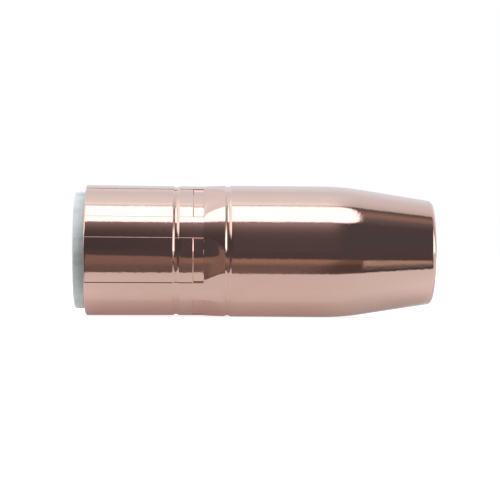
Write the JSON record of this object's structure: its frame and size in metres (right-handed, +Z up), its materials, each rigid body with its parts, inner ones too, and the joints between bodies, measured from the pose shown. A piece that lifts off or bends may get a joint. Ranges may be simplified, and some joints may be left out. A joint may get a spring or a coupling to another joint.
{
  "type": "welding torch gas nozzle",
  "caption": "Insulated gas nozzle for a MIG welding torch: a crimped copper tube with a long taper, lined with a glass-fibre sleeve that holds a slotted slip-on socket.",
  "frame": {"origin": "on the axis, where the socket's straight bore begins at the torch end", "axes": "+X along the axis from the torch to the gas outlet, +Z up as the nozzle lies on its side"},
  "size_m": [0.0691, 0.0254, 0.0254],
  "materials": {
    "copper": "polished copper",
    "glass_fibre": "pale glass-fibre laminate, satin",
    "brass": "turned brass",
    "spring_steel": "drawn spring wire"
  },
  "bodies": {
    "root": {"nozzle_shell": "copper", "insulator_sleeve": "glass_fibre", "socket_insert": "brass", "grip_ring": "spring_steel"}
  },
  "joints": []
}
